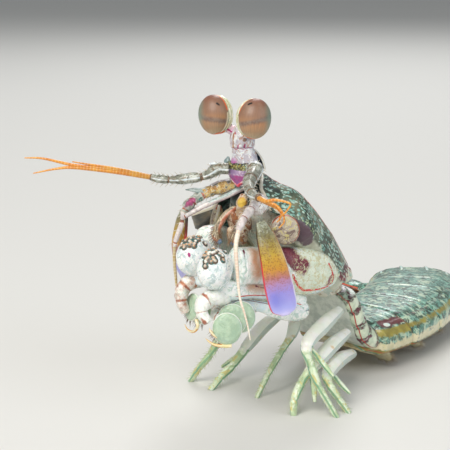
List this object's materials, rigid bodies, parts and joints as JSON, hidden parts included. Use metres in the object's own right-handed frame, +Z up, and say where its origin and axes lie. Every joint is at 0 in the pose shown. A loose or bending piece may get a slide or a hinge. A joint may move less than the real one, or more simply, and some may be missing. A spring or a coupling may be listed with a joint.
{
  "type": "mantis shrimp model",
  "caption": "Life-size still model of a smashing mantis shrimp, reared on its walking legs with claws folded, stalked eyes raised and tail fan on the floor.",
  "frame": {"origin": "middle of the bottom of the animal's box, on the floor it stands on", "axes": "+Z up; the animal faces -Y and its tail runs to +Y; +X is the animal's left"},
  "size_m": [0.034, 0.0687, 0.0292],
  "materials": {
    "shell_teal": "wet glossy shell, mottled teal on dark grey-green, with fine pits",
    "shell_maroon": "wet glossy shell, maroon and cream blotches with red margins",
    "flesh_white": "wet satin shell, white to pale pink with maroon and red marks",
    "pale_green": "satin pale green plates with orange claws",
    "leg_green": "smooth translucent cream to yellow-green",
    "orange": "smooth ringed orange-yellow",
    "eye_tan": "glossy faceted cornea, pinkish tan with a grey middle band",
    "scale_orange": "thin satin plate, grey-green to golden orange to violet"
  },
  "bodies": {
    "root": {"abdomen_1": "shell_teal", "abdomen_2": "shell_teal", "abdomen_3": "shell_teal", "abdomen_4": "shell_teal", "abdomen_5": "shell_teal", "abdomen_6": "shell_teal", "antenna_flagellum_l": "flesh_white", "antenna_flagellum_r": "flesh_white", "antenna_l": "flesh_white", "antenna_r": "flesh_white", "antenna_scale_l": "scale_orange", "antenna_scale_r": "scale_orange", "antennular_somite": "flesh_white", "antennule_flagella_l": "orange", "antennule_flagella_r": "orange", "antennule_l": "flesh_white", "antennule_r": "flesh_white", "carapace": "shell_teal", "cheek_l": "flesh_white", "cheek_r": "flesh_white", "claw_carpus_l": "flesh_white", "claw_carpus_r": "flesh_white", "claw_dactyl_l": "flesh_white", "claw_dactyl_r": "flesh_white", "claw_merus_l": "flesh_white", "claw_merus_r": "flesh_white", "claw_propodus_l": "flesh_white", "claw_propodus_r": "flesh_white", "eye_l": "eye_tan", "eye_r": "eye_tan", "eyestalk_l": "flesh_white", "eyestalk_r": "flesh_white", "head": "flesh_white", "leg_1_l": "leg_green", "leg_1_r": "leg_green", "leg_2_l": "leg_green", "leg_2_r": "leg_green", "leg_3_l": "leg_green", "leg_3_r": "leg_green", "maxilliped_1_l": "pale_green", "maxilliped_1_r": "pale_green", "maxilliped_3_l": "pale_green", "maxilliped_3_r": "pale_green", "maxilliped_4_l": "pale_green", "maxilliped_4_r": "pale_green", "maxilliped_5_l": "pale_green", "maxilliped_5_r": "pale_green", "mouthparts": "flesh_white", "ocular_somite": "flesh_white", "rostral_plate": "shell_teal", "telson": "shell_teal", "thorax_5": "shell_maroon", "thorax_6": "shell_maroon", "thorax_7": "shell_maroon", "thorax_8": "shell_maroon", "uropod_l": "shell_teal", "uropod_r": "shell_teal"}
  },
  "joints": []
}
